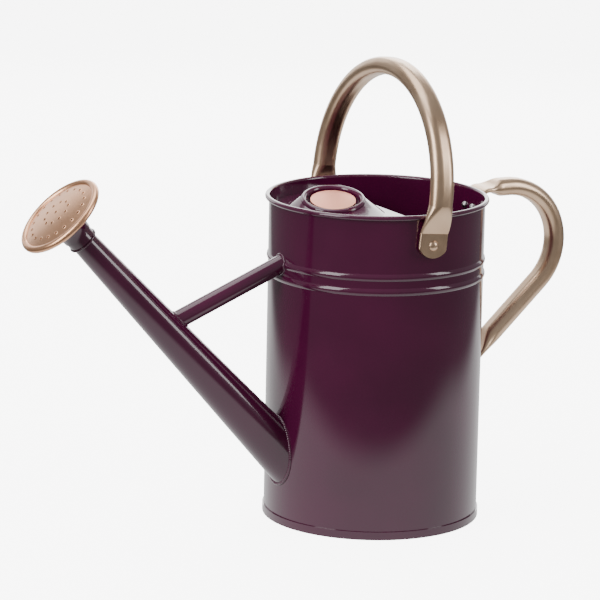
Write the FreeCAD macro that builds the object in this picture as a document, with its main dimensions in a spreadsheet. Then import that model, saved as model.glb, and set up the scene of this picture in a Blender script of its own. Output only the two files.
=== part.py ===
import FreeCAD, Part
import math
import os
import Sketcher
from FreeCAD import Placement, Rotation, Vector

# Metal watering can with a long tapered spout, a brace, a push-on rose, a swinging bail over the
# mouth and a fixed handle at the back. Millimetres. The can stands on the floor at Z = 0 with its
# axis on Z; the spout points along -X and the back handle along +X.

doc = FreeCAD.newDocument("watering_can")
sheet = doc.addObject("Spreadsheet::Sheet", "Sizes")


class Size:
    """A number together with the expression that works it out from the spreadsheet."""

    def __init__(self, value, text):
        self.value = float(value)
        self.text = text

    def __add__(self, other):
        other = size(other)
        return Size(self.value + other.value, f"({self.text} + {other.text})")

    def __sub__(self, other):
        other = size(other)
        return Size(self.value - other.value, f"({self.text} - {other.text})")

    def __mul__(self, other):
        other = size(other)
        return Size(self.value * other.value, f"({self.text} * {other.text})")

    def __truediv__(self, other):
        other = size(other)
        return Size(self.value / other.value, f"({self.text} / {other.text})")

    def __radd__(self, other):
        return size(other) + self

    def __rsub__(self, other):
        return size(other) - self

    def __rmul__(self, other):
        return size(other) * self

    def __neg__(self):
        return Size(-self.value, f"(0 - {self.text})")


def size(number):
    """Turn a plain number into a Size; a Size stays as it is."""
    if isinstance(number, Size):
        return number
    return Size(number, f"{number:.9g}" if number >= 0 else f"(0 - {-number:.9g})")


def sine(angle):
    return Size(math.sin(math.radians(angle.value)), f"sin({angle.text} * 1deg)")


def cosine(angle):
    return Size(math.cos(math.radians(angle.value)), f"cos({angle.text} * 1deg)")


def tangent(angle):
    return Size(math.tan(math.radians(angle.value)), f"tan({angle.text} * 1deg)")


def root(number):
    return Size(math.sqrt(number.value), f"sqrt({number.text})")


row = 0


def cell(name, value, note):
    """Write one driving dimension into the spreadsheet and return it as a Size."""
    global row
    row += 1
    sheet.set(f"A{row}", note)
    sheet.set(f"B{row}", str(value))
    sheet.setAlias(f"B{row}", name)
    return Size(value, f"Sizes.{name}")


# ---------------------------------------------------------------- driving dimensions

# can body
shell_radius = cell("shell_radius", 77.5, "outer radius of the can wall")
rim_level = cell("rim_level", 234.7, "top of the rolled rim above the floor")
sheet_gauge = cell("sheet_gauge", 0.8, "thickness of the can's sheet steel")
wall_foot = cell("wall_foot", 2.0, "lower edge of the wall above the floor")
wire_radius = cell("wire_radius", 1.0, "radius of the wire rolled into the rim")
curl_end = cell("curl_end", 250.0, "angle at which the rim's curl stops")
bead_level = cell("bead_level", 179.9, "height of the lower swaged bead")
bead_pitch = cell("bead_pitch", 10.3, "distance between the two swaged beads")
bead_half = cell("bead_half", 2.6, "half height of a swaged bead")
bead_rise = cell("bead_rise", 1.0, "how far a swaged bead stands out")

# base
base_gauge = cell("base_gauge", 0.9, "thickness of the base plate")
base_recess = cell("base_recess", 5.0, "height of the base plate's underside above the floor")
seam_rise = cell("seam_rise", 6.0, "height of the folded bottom seam")
seam_corner = cell("seam_corner", 0.5, "rounding of the folded seam's lower corners")
seam_gap = cell("seam_gap", 0.1, "gap left for sealant on each side of the wall in the seam")
panel_radius = cell("panel_radius", 58.0, "radius of the raised panel of the base")
panel_rise = cell("panel_rise", 1.2, "height of the raised panel of the base")

# cover over the front half of the mouth
cover_level = cell("cover_level", 224.5, "top face of the half-moon cover")
cover_chord = cell("cover_chord", 5.0, "place of the cover's straight edge")
cover_gap = cell("cover_gap", 0.2, "gap between the cover and the wall")
cover_flange = cell("cover_flange", 4.5, "depth of the cover's turned-down flange")
hem_radius = cell("hem_radius", 1.3, "radius of the roll along the cover's straight edge")
boss_centre = cell("boss_centre", 36.0, "distance of the boss in front of the can's axis")
boss_radius = cell("boss_radius", 36.9, "radius of the boss's foot")
boss_rise = cell("boss_rise", 8.9, "height of the canted collar's middle above the cover")
boss_cant = cell("boss_cant", 13.4, "lean of the boss's top towards the left and a little forward")
collar_radius = cell("collar_radius", 21.0, "radius of the rounded collar on the boss")
collar_round = cell("collar_round", 2.2, "rounding radius of the collar")
collar_depth = cell("collar_depth", 3.0, "depth of the badge's seat inside the collar")
badge_radius = cell("badge_radius", 16.2, "radius of the copper badge")
badge_skirt = cell("badge_skirt", 3.2, "height of the badge's straight skirt")
badge_dome = cell("badge_dome", 0.8, "rise of the badge's faintly domed face")
badge_gauge = cell("badge_gauge", 0.8, "thickness of the badge")
stud_radius = cell("stud_radius", 2.0, "radius of the stud under the badge")
stud_flange = cell("stud_flange", 4.0, "radius of the stud's soldered foot")
stud_foot = cell("stud_foot", 1.0, "thickness of the stud's soldered foot")
stud_tail = cell("stud_tail", 3.0, "length of the stud below the seat")
clip_radius = cell("clip_radius", 6.0, "radius of the push-on clip")
clip_gauge = cell("clip_gauge", 0.6, "thickness of the push-on clip")
wire_gap = cell("wire_gap", 0.02, "clearance of pieces that are clamped or soldered together")
fit_gap = cell("fit_gap", 0.05, "radial clearance of pins and rings in their holes")

# spout, brace and rose
spout_tilt = cell("spout_tilt", 46.9, "angle of the spout above the horizontal")
spout_root = cell("spout_root", 55.0, "height at which the spout's axis meets the wall")
spout_radius = cell("spout_radius", 17.0, "outer radius of the spout at the wall")
spout_taper = cell("spout_taper", 2.03, "half angle of the spout's cone")
spout_gauge = cell("spout_gauge", 0.8, "wall thickness of the spout")
spout_reach = cell("spout_reach", 224.4, "length of the spout's cone along its axis")
spout_buried = cell("spout_buried", 32.0, "length of cone laid inside the can before the cut")
nozzle_radius = cell("nozzle_radius", 8.2, "outer radius of the nozzle that takes the rose")
nozzle_length = cell("nozzle_length", 15.6, "length of the nozzle")
weld_width = cell("weld_width", 1.5, "width and height of a weld bead")
brace_level = cell("brace_level", 190.1, "height at which the brace's axis meets the wall")
brace_drop = cell("brace_drop", 22.4, "angle of the brace below the horizontal")
brace_radius = cell("brace_radius", 6.5, "outer radius of the brace tube")
brace_buried = cell("brace_buried", 20.0, "length of brace laid inside the can before the cut")
brace_gauge = cell("brace_gauge", 1.0, "wall thickness of the brace tube")
rose_radius = cell("rose_radius", 33.0, "outer radius of the rose")
rose_curl = cell("rose_curl", 2.5, "outer radius of the rose's rolled edge")
rose_gauge = cell("rose_gauge", 0.7, "thickness of the rose's sheet")
rose_dome = cell("rose_dome", 4.6, "height of the rose's domed face")
rose_depth = cell("rose_depth", 19.0, "depth of the rose's trumpet back")
sleeve_bore = cell("sleeve_bore", 9.3, "inner radius of the rose's sleeve")
sleeve_length = cell("sleeve_length", 7.0, "sleeve showing below the trumpet")
sleeve_lap = cell("sleeve_lap", 3.0, "length of sleeve inside the trumpet's neck")
sleeve_bead = cell("sleeve_bead", 0.9, "radius of the bead at the sleeve's mouth")
spray_radius = cell("spray_radius", 0.8, "radius of a spray hole")
spray_inner = cell("spray_inner", 10.2, "radius of the inner ring of spray holes")
spray_outer = cell("spray_outer", 22.6, "radius of the outer ring of spray holes")
spray_inner_count = cell("spray_inner_count", 10, "holes in the inner ring")
spray_outer_count = cell("spray_outer_count", 20, "holes in the outer ring")
seal_setback = cell("seal_setback", 3.0, "distance of the seal from the nozzle's end")
seal_length = cell("seal_length", 11.0, "length of the rubber seal on the nozzle")

# handles
tube_width = cell("tube_width", 17.2, "width of the handles' oval tube")
tube_depth = cell("tube_depth", 12.7, "thickness of the handles' oval tube")
tube_gauge = cell("tube_gauge", 1.2, "wall of the handles' oval tube")
tab_depth = cell("tab_depth", 3.5, "thickness of a flattened tube end")
pivot_level = cell("pivot_level", 213.0, "height of the bail's pivots")
bail_lean = cell("bail_lean", 5.45, "lean of the bail towards the back")
bail_spread = cell("bail_spread", 7.5, "distance of the bail's legs outside the wall")
bail_leg = cell("bail_leg", 29.0, "height at which the arch starts above the pivots")
bail_crease = cell("bail_crease", 8.5, "height of the crease above the pivots")
ear_round = cell("ear_round", 12.6, "rounding radius of a flattened end")
bail_tail = cell("bail_tail", 9.0, "length of the ear below the pivot")
spacer_gauge = cell("spacer_gauge", 0.9, "thickness of the washer between ear and wall")
spacer_radius = cell("spacer_radius", 6.0, "radius of the washers at the pivots")
backing_gauge = cell("backing_gauge", 1.0, "thickness of the washer inside the wall")
play = cell("play", 0.1, "side play of the bail on its rivets")
rivet_radius = cell("rivet_radius", 2.0, "shank radius of a bail rivet")
rivet_head = cell("rivet_head", 3.6, "head radius of a bail rivet")
rivet_dome = cell("rivet_dome", 1.9, "head height of a bail rivet")
loop_offset = cell("loop_offset", 30.8, "distance of the back handle's bend outside the wall")
loop_level = cell("loop_level", 190.8, "height of the centre of the back handle's bend")
loop_radius = cell("loop_radius", 42.0, "radius of the back handle's bend")
loop_rake = cell("loop_rake", 43.2, "angle of the back handle's straight above the horizontal")
upper_bend = cell("upper_bend", 9.0, "radius of the bend above the upper foot")
lower_bend = cell("lower_bend", 12.0, "radius of the bend above the lower foot")
foot_length = cell("foot_length", 18.0, "length of the flat foot at each end of the back handle")
upper_blend = cell("upper_blend", 14.0, "length over which the upper end swells to the full tube")
lower_blend = cell("lower_blend", 24.0, "length over which the lower end swells to the full tube")
pin_radius = cell("pin_radius", 1.6, "shank radius of a back handle rivet")
pin_head = cell("pin_head", 3.2, "outer head radius of a back handle rivet")
pin_nub = cell("pin_nub", 2.7, "inner head radius of a back handle rivet")
pin_dome = cell("pin_dome", 1.4, "outer head height of a back handle rivet")
pin_nub_rise = cell("pin_nub_rise", 2.3, "inner head height of a back handle rivet")
pin_drop = cell("pin_drop", 3.3, "distance of the upper rivets below the bend of the upper foot")
pin_spread = cell("pin_spread", 5.35, "half the distance between the two rivets of a foot")
foot_gap = cell("foot_gap", 0.05, "gap between a foot and the wall")

doc.recompute()

# ---------------------------------------------------------------- derived places

shell_inner = shell_radius - sheet_gauge
curl_outer = wire_radius + sheet_gauge
curl_radius = shell_inner + curl_outer
curl_level = rim_level - curl_outer
cover_radius = shell_inner - cover_gap
rose_place = spout_reach + 0.3 + sleeve_length + rose_depth
rose_neck = sleeve_bore + rose_gauge + 0.02
bail_reach = shell_radius + bail_spread
loop_centre = shell_radius + loop_offset
boss_level = cover_level + boss_rise
collar_outer = collar_radius + collar_round
bead_arc = (bead_half * bead_half + bead_rise * bead_rise) / (2 * bead_rise)
ear_middle = shell_radius + spacer_gauge + play + tab_depth / 2
foot_middle = shell_radius + foot_gap + tab_depth / 2
upper_level = loop_level + loop_radius - upper_bend
lower_turn = 90 - loop_rake
lower_corner = (loop_level - loop_radius / cosine(loop_rake)
                - (loop_centre - foot_middle) * tangent(loop_rake))
lower_level = lower_corner - lower_bend * tangent(lower_turn / 2)
upper_pins = upper_level - pin_drop
lower_pins = lower_level - foot_length / 2


# ---------------------------------------------------------------- helpers

def bind(item, name, number):
    """Drive one property of an object from the spreadsheet."""
    item.setExpression(name, size(number).text)


def place(item, x=0, y=0, z=0, axis=None, angle=None):
    """Set an object's placement and drive its position and angle; the angle stays positive."""
    x, y, z = size(x), size(y), size(z)
    turn = Rotation()
    if axis is not None:
        turn = Rotation(Vector(*axis), size(angle).value)
    item.Placement = Placement(Vector(x.value, y.value, z.value), turn)
    bind(item, "Placement.Base.x", x)
    bind(item, "Placement.Base.y", y)
    bind(item, "Placement.Base.z", z)
    if axis is not None:
        bind(item, "Placement.Rotation.Angle", angle)
    return item


def pin_point(sketch, shape, end, x=None, y=None):
    """Hold one point of a sketch at expressions measured from the sketch's origin."""
    for kind, number in (("DistanceX", x), ("DistanceY", y)):
        if number is None:
            continue
        number = size(number)
        index = sketch.addConstraint(Sketcher.Constraint(kind, -1, 1, shape, end, number.value))
        name = f"{kind[-1].lower()}_{index}"
        sketch.renameConstraint(index, name)
        bind(sketch, f"Constraints.{name}", number)


def outline(sketch, start, steps, closed=True):
    """Draw an outline. A step is (x, y) for a line to that point, or
    (x, y, centre x, centre y, turn) for an arc, turn being 1 anticlockwise and -1 clockwise."""
    here = [size(number) for number in start]
    drawn = []
    for step in steps:
        there = [size(number) for number in step[:2]]
        point = Vector(there[0].value, there[1].value, 0)
        before = Vector(here[0].value, here[1].value, 0)
        first, last, centre = 1, 2, None
        if len(step) == 2:
            shape = sketch.addGeometry(Part.LineSegment(before, point), False)
        else:
            centre = [size(number) for number in step[2:4]]
            middle = Vector(centre[0].value, centre[1].value, 0)
            begin = math.atan2(before.y - middle.y, before.x - middle.x)
            finish = math.atan2(point.y - middle.y, point.x - middle.x)
            if step[4] < 0:
                begin, finish = finish, begin
                first, last = 2, 1
            if finish <= begin:
                finish += 2 * math.pi
            circle = Part.Circle(middle, Vector(0, 0, 1), (before - middle).Length)
            shape = sketch.addGeometry(Part.ArcOfCircle(circle, begin, finish), False)
        drawn.append((shape, first, last, centre, there, point))
        here = there
    if not closed:
        pin_point(sketch, drawn[0][0], drawn[0][1], start[0], start[1])
    for number, (shape, first, last, centre, there, point) in enumerate(drawn):
        if closed or number + 1 < len(drawn):
            following = drawn[(number + 1) % len(drawn)]
            meet = Sketcher.Constraint("Coincident", shape, last, following[0], following[1])
            sketch.addConstraint(meet)
        if centre is None:
            pin_point(sketch, shape, last, there[0], there[1])
            continue
        pin_point(sketch, shape, 3, centre[0], centre[1])
        away = point - Vector(centre[0].value, centre[1].value, 0)
        if abs(away.x) < abs(away.y):
            pin_point(sketch, shape, last, x=there[0])
        else:
            pin_point(sketch, shape, last, y=there[1])
    return sketch


def plane_of(body, role):
    for feature in body.Origin.OriginFeatures:
        if feature.Role == role:
            return feature
    raise RuntimeError(f"{body.Label} has no {role}")


def new_body(name):
    body = doc.addObject("PartDesign::Body", name)
    body.Label = name
    return body


def sketch_on(body, name, role, level=None):
    """A sketch on one of the body's own planes, lifted off it by a driven distance."""
    sketch = body.newObject("Sketcher::SketchObject", name)
    sketch.AttachmentSupport = [(plane_of(body, role), "")]
    sketch.MapMode = "FlatFace"
    if level is not None:
        level = size(level)
        sketch.AttachmentOffset = Placement(Vector(0, 0, level.value), Rotation())
        bind(sketch, "AttachmentOffset.Base.z", level)
    return sketch


def turned(name, start, steps):
    """A body turned about its own Z axis from one outline of radius and height."""
    body = new_body(name)
    sketch = sketch_on(body, name + "_profile", "XZ_Plane")
    outline(sketch, start, steps)
    turn = body.newObject("PartDesign::Revolution", name + "_turn")
    turn.Profile = sketch
    turn.ReferenceAxis = (sketch, ["V_Axis"])
    turn.Angle = 360.0
    sketch.Visibility = False
    doc.recompute()
    return body


def drill(body, name, radius, length, x=0, y=0, z=0, axis=None, angle=None):
    """A round hole through a body, starting at a point and running along its own Z axis."""
    tool = body.newObject("PartDesign::SubtractiveCylinder", name)
    bind(tool, "Radius", radius)
    bind(tool, "Height", length)
    place(tool, x, y, z, axis, angle)
    doc.recompute()
    return tool


def cylinder(name, radius, length, x=0, y=0, z=0, axis=None, angle=None):
    item = doc.addObject("Part::Cylinder", name)
    bind(item, "Radius", radius)
    bind(item, "Height", length)
    return place(item, x, y, z, axis, angle)


def joined(name, items):
    item = doc.addObject("Part::MultiFuse", name)
    item.Shapes = items
    return item


def cut(name, base, tool):
    item = doc.addObject("Part::Cut", name)
    item.Base = base
    item.Tool = tool
    return item


def oval(name, depth, wall=0, along_y=False):
    """A loose sketch of the handles' tube pressed to a depth: a flat-sided oval whose outline keeps
    its length as it flattens. A wall makes it the outline of the bore instead."""
    sketch = doc.addObject("Sketcher::SketchObject", name)
    depth = size(depth)
    flat = (tube_width - tube_depth) / 2 + (tube_depth - depth) * (math.pi / 4)
    half = depth / 2 - wall
    if along_y:
        outline(sketch, (half, -flat), [
            (half, flat),
            (-half, flat, 0, flat, 1),
            (-half, -flat),
            (half, -flat, 0, -flat, 1),
        ])
    else:
        outline(sketch, (-flat, -half), [
            (flat, -half),
            (flat, half, flat, 0, 1),
            (-flat, half),
            (-flat, -half, -flat, 0, 1),
        ])
    return sketch


def loft(name, sections):
    item = doc.addObject("Part::Loft", name)
    item.Sections = sections
    item.Solid = True
    item.Ruled = False
    return item


def swept(name, section, spine):
    item = doc.addObject("Part::Sweep", name)
    item.Sections = [section]
    item.Spine = (spine, [])
    item.Solid = True
    item.Frenet = False
    return item


def extruded(name, section, length):
    item = doc.addObject("Part::Extrusion", name)
    item.Base = section
    item.DirMode = "Custom"
    item.Dir = Vector(0, 0, 1)
    item.Solid = True
    bind(item, "LengthFwd", length)
    return item


def common(name, items):
    item = doc.addObject("Part::MultiCommon", name)
    item.Shapes = items
    return item


def grouped(name, items):
    """Separate solids that share one node."""
    item = doc.addObject("Part::Compound", name)
    item.Links = items
    return item


def along_spout(distance):
    """The place on the spout's axis at a distance from the wall."""
    distance = size(distance)
    return -shell_radius - distance * cosine(spout_tilt), spout_root + distance * sine(spout_tilt)


def on_spout(item, distance):
    """Stand an object's Z axis on the spout's axis, pointing outwards."""
    x, z = along_spout(distance)
    return place(item, x, 0, z, TO_FRONT, 90 - spout_tilt)


# turning an object's Z axis: towards -X, towards +X, towards -Y and towards +Y
TO_FRONT = (0, -1, 0)
TO_BACK = (0, 1, 0)
TO_LEFT = (1, 0, 0)
TO_RIGHT = (-1, 0, 0)
# the boss leans this way in plan, turned about a level line square to it
BOSS_LEAN = (-0.4147, -0.90996)
BOSS_HINGE = (0.90996, -0.4147, 0)


# ---------------------------------------------------------------- can body

def bead_steps(middle):
    """Going up the outside of the wall: one swaged bead."""
    centre = shell_radius + bead_rise - bead_arc
    return [
        (shell_radius, middle - bead_half),
        (shell_radius, middle + bead_half, centre, middle, 1),
    ]


def bead_hollow_steps(middle):
    """Coming down the inside of the wall: the hollow of one swaged bead."""
    centre = shell_radius + bead_rise - bead_arc
    inner_arc = bead_arc - sheet_gauge
    step = shell_inner - centre
    half = root(inner_arc * inner_arc - step * step)
    return [
        (shell_inner, middle + half),
        (shell_inner, middle - half, centre, middle, -1),
    ]


def build_body_shell():
    upper_bead = bead_level + bead_pitch
    steps = bead_steps(bead_level) + bead_steps(upper_bead)
    steps += [
        (shell_radius, curl_level),
        (curl_radius + wire_radius * cosine(curl_end), curl_level + wire_radius * sine(curl_end),
         curl_radius, curl_level, -1),
        (curl_radius + curl_outer * cosine(curl_end), curl_level + curl_outer * sine(curl_end)),
        (shell_inner, curl_level, curl_radius, curl_level, 1),
    ]
    steps += bead_hollow_steps(upper_bead) + bead_hollow_steps(bead_level)
    steps += [(shell_inner, wall_foot), (shell_radius, wall_foot)]
    body = turned("body_shell", (shell_radius, wall_foot), steps)

    mouth = body.newObject("PartDesign::SubtractiveCone", "spout_mouth")
    spread = spout_buried * tangent(spout_taper)
    bind(mouth, "Radius1", spout_radius - spout_gauge + spread)
    bind(mouth, "Radius2", spout_radius - spout_gauge - spread)
    bind(mouth, "Height", 2 * spout_buried)
    on_spout(mouth, -spout_buried)
    doc.recompute()

    across = 2 * shell_radius
    drill(body, "pivot_holes", rivet_radius + fit_gap, 2 * across, 0, across, pivot_level, TO_LEFT, 90)
    for level_name, level in (("upper", upper_pins), ("lower", lower_pins)):
        for side_name, side in (("left", -1), ("right", 1)):
            drill(body, f"{level_name}_{side_name}_hole", pin_radius + fit_gap, shell_radius,
                  shell_radius / 2, side * pin_spread, level, TO_BACK, 90)


def build_rim_wire():
    wire = doc.addObject("Part::Torus", "rim_wire")
    bind(wire, "Radius1", curl_radius)
    bind(wire, "Radius2", wire_radius - wire_gap)
    place(wire, 0, 0, curl_level)


def build_base():
    skirt = shell_inner - seam_gap
    hem = shell_radius + seam_gap
    skirt_inside = skirt - base_gauge
    hem_outside = hem + base_gauge
    panel_foot = panel_radius + panel_rise
    top = base_recess + base_gauge
    turned("base_plate", (0, base_recess + panel_rise), [
        (panel_radius, base_recess + panel_rise),
        (panel_foot, base_recess),
        (skirt_inside, base_recess),
        (skirt_inside, seam_corner),
        (skirt_inside + seam_corner, 0, skirt_inside + seam_corner, seam_corner, 1),
        (hem_outside - seam_corner, 0),
        (hem_outside, seam_corner, hem_outside - seam_corner, seam_corner, 1),
        (hem_outside, seam_rise),
        (hem, seam_rise),
        (hem, base_gauge),
        (skirt, base_gauge),
        (skirt, top),
        (panel_foot, top),
        (panel_radius, top + panel_rise),
        (0, top + panel_rise),
        (0, base_recess + panel_rise),
    ])
    turned("base_seam_seal", (skirt, base_gauge), [
        (hem, base_gauge),
        (hem, wall_foot),
        (skirt, wall_foot),
        (skirt, base_gauge),
    ])


# ---------------------------------------------------------------- half-moon cover and its badge

def half_moon(sketch, outer, inner=None):
    """The outline of a half-moon open at the back, or of a strip along its round edge."""
    outer_end = root(outer * outer - cover_chord * cover_chord)
    if inner is None:
        return outline(sketch, (cover_chord, outer_end), [
            (cover_chord, -outer_end, 0, 0, 1),
            (cover_chord, outer_end),
        ])
    inner_end = root(inner * inner - cover_chord * cover_chord)
    return outline(sketch, (cover_chord, outer_end), [
        (cover_chord, -outer_end, 0, 0, 1),
        (cover_chord, -inner_end),
        (cover_chord, inner_end, 0, 0, -1),
        (cover_chord, outer_end),
    ])


def pad(body, name, sketch, length):
    feature = body.newObject("PartDesign::Pad", name)
    feature.Profile = sketch
    bind(feature, "Length", length)
    sketch.Visibility = False
    doc.recompute()
    return feature


def on_boss(item, height):
    """Stand an object on the boss's canted axis, at a height above the collar's middle."""
    height = size(height)
    aside = height * sine(boss_cant)
    return place(item, -boss_centre + aside * BOSS_LEAN[0], aside * BOSS_LEAN[1],
                 boss_level + height * cosine(boss_cant), BOSS_HINGE, boss_cant)


def circle(name, radius):
    item = doc.addObject("Part::Circle", name)
    bind(item, "Radius", radius)
    return item


def build_top_cover():
    underside = cover_level - sheet_gauge
    body = new_body("cover_plate")
    moon = sketch_on(body, "cover_moon", "XY_Plane", underside)
    half_moon(moon, cover_radius)
    pad(body, "cover_sheet", moon, sheet_gauge)

    strip = sketch_on(body, "flange_strip", "XY_Plane", underside - cover_flange)
    half_moon(strip, cover_radius, cover_radius - sheet_gauge)
    pad(body, "flange", strip, cover_flange)

    half = root(cover_radius * cover_radius - (cover_chord + hem_radius) * (cover_chord + hem_radius))
    hem = body.newObject("PartDesign::AdditiveCylinder", "chord_hem")
    bind(hem, "Radius", hem_radius)
    bind(hem, "Height", 2 * half)
    place(hem, cover_chord, -half, cover_level - hem_radius, TO_RIGHT, 90)
    doc.recompute()

    foot = place(circle("boss_foot", boss_radius), -boss_centre, 0, cover_level)
    neck = on_boss(circle("boss_neck", collar_outer), 0)
    inner_foot = place(circle("boss_inner_foot", boss_radius), -boss_centre, 0,
                       underside - wire_gap * 5)
    inner_neck = on_boss(circle("boss_inner_neck", collar_outer - sheet_gauge / 3), -sheet_gauge)
    mouth = on_boss(cylinder("boss_mouth", collar_outer - sheet_gauge, 4 * sheet_gauge),
                    -2 * sheet_gauge)
    pressed = joined("boss_blank", [body, loft("boss", [foot, neck])])
    hollow = joined("boss_hollow", [loft("boss_inside", [inner_foot, inner_neck]), mouth])

    under_round = collar_round - sheet_gauge
    inner = collar_radius - collar_round
    hole = stud_radius + fit_gap
    collar = turned("boss_collar", (collar_outer, 0), [
        (inner, 0, collar_radius, 0, 1),
        (inner, -collar_depth),
        (hole, -collar_depth),
        (hole, -collar_depth - sheet_gauge),
        (inner + sheet_gauge, -collar_depth - sheet_gauge),
        (inner + sheet_gauge, 0),
        (collar_radius + under_round, 0, collar_radius, 0, -1),
        (collar_outer, 0),
    ])
    on_boss(collar, 0)
    joined("top_cover", [cut("boss_shell", pressed, hollow), collar])


def build_badge():
    edge = badge_skirt
    top = edge + badge_dome
    ball = (badge_radius * badge_radius + badge_dome * badge_dome) / (2 * badge_dome)
    centre = top - ball
    bore = badge_radius - badge_gauge
    inner_ball = ball - badge_gauge
    shoulder = centre + root(inner_ball * inner_ball - bore * bore)
    badge = turned("cover_badge", (badge_radius, 0), [
        (badge_radius, edge),
        (0, top, 0, centre, 1),
        (0, top - badge_gauge),
        (bore, shoulder, 0, centre, -1),
        (bore, 0),
        (badge_radius, 0),
    ])
    foot_top = centre + root(inner_ball * inner_ball - stud_flange * stud_flange) - wire_gap
    tail = size(0) - sheet_gauge - stud_tail
    stud = turned("badge_stud", (0, tail), [
        (stud_radius, tail),
        (stud_radius, foot_top - stud_foot),
        (stud_flange, foot_top - stud_foot),
        (stud_flange, foot_top),
        (0, foot_top),
        (0, tail),
    ])
    clip = ring("badge_clip", stud_radius + wire_gap, clip_radius, clip_gauge)
    on_boss(badge, -collar_depth)
    on_boss(stud, -collar_depth)
    on_boss(clip, -collar_depth - sheet_gauge - clip_gauge)


def ring(name, inner, outer, length):
    """A plain washer or sleeve standing on its own XY plane."""
    return turned(name, (inner, 0), [
        (outer, 0),
        (outer, length),
        (inner, length),
        (inner, 0),
    ])


# ---------------------------------------------------------------- spout, brace and welds

def spout_cone(name, extra):
    """The spout's cone as a solid, thickened by an extra radius."""
    item = doc.addObject("Part::Cone", name)
    bind(item, "Radius1", spout_radius + spout_buried * tangent(spout_taper) + extra)
    bind(item, "Radius2", spout_radius - spout_reach * tangent(spout_taper) + extra)
    bind(item, "Height", spout_buried + spout_reach)
    return on_spout(item, -spout_buried)


def brace_bar(name, radius):
    """The brace as a solid bar from inside the can to the spout's axis."""
    run = (brace_level - spout_root) / (tangent(spout_tilt) + tangent(brace_drop))
    x = brace_buried * cosine(brace_drop) - shell_radius
    z = brace_level + brace_buried * sine(brace_drop)
    return cylinder(name, radius, brace_buried + run / cosine(brace_drop), x, 0, z,
                    TO_FRONT, 90 + brace_drop)


def can_bar(name, extra=0):
    """The can's outside as a solid bar, swaged beads included, or a plain bar of a larger radius."""
    if extra:
        return cylinder(name, shell_radius + extra, 2 * rim_level, 0, 0, -rim_level / 2)
    steps = [(shell_radius, 0)] + bead_steps(bead_level) + bead_steps(bead_level + bead_pitch)
    steps += [(shell_radius, rim_level), (0, rim_level), (0, 0)]
    return turned(name, (0, 0), steps)


def build_spout():
    tip = spout_radius - spout_reach * tangent(spout_taper)
    start = spout_radius + spout_buried * tangent(spout_taper)
    bore = nozzle_radius - spout_gauge
    top = spout_reach + nozzle_length
    tube = turned("spout_blank", (start, -spout_buried), [
        (tip, spout_reach),
        (nozzle_radius, spout_reach),
        (nozzle_radius, top),
        (bore, top),
        (bore, spout_reach - spout_gauge),
        (tip - spout_gauge, spout_reach - spout_gauge),
        (start - spout_gauge, -spout_buried),
        (start, -spout_buried),
    ])
    on_spout(tube, 0)
    cut("spout_tube", tube, can_bar("spout_saddle"))

    tube = cut("brace_blank", brace_bar("brace_outside", brace_radius),
               brace_bar("brace_bore", brace_radius - brace_gauge))
    ends = joined("brace_ends", [can_bar("brace_saddle"), spout_cone("brace_notch", 0)])
    cut("spout_brace", tube, ends)


def build_welds():
    skin = cut("wall_skin", can_bar("wall_skin_outside", weld_width), can_bar("wall_skin_inside"))
    collar = common("spout_weld_blank", [skin, spout_cone("spout_weld_outside", weld_width)])
    cut("spout_weld_bead", collar, spout_cone("spout_weld_inside", 0))

    skin = cut("bead_skin", can_bar("bead_skin_outside", weld_width + bead_rise),
               can_bar("bead_skin_inside"))
    bar = brace_bar("brace_wall_weld_outside", brace_radius + weld_width)
    collar = common("brace_wall_weld_blank", [skin, bar])
    wall_weld = cut("brace_wall_weld", collar, brace_bar("brace_wall_weld_inside", brace_radius))
    skin = cut("spout_skin", spout_cone("spout_skin_outside", weld_width),
               spout_cone("spout_skin_inside", 0))
    bar = brace_bar("brace_spout_weld_outside", brace_radius + weld_width)
    collar = common("brace_spout_weld_blank", [skin, bar])
    spout_weld = cut("brace_spout_weld", collar, brace_bar("brace_spout_weld_inside", brace_radius))
    grouped("brace_weld_beads", [wall_weld, spout_weld])


# ---------------------------------------------------------------- rose

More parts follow.
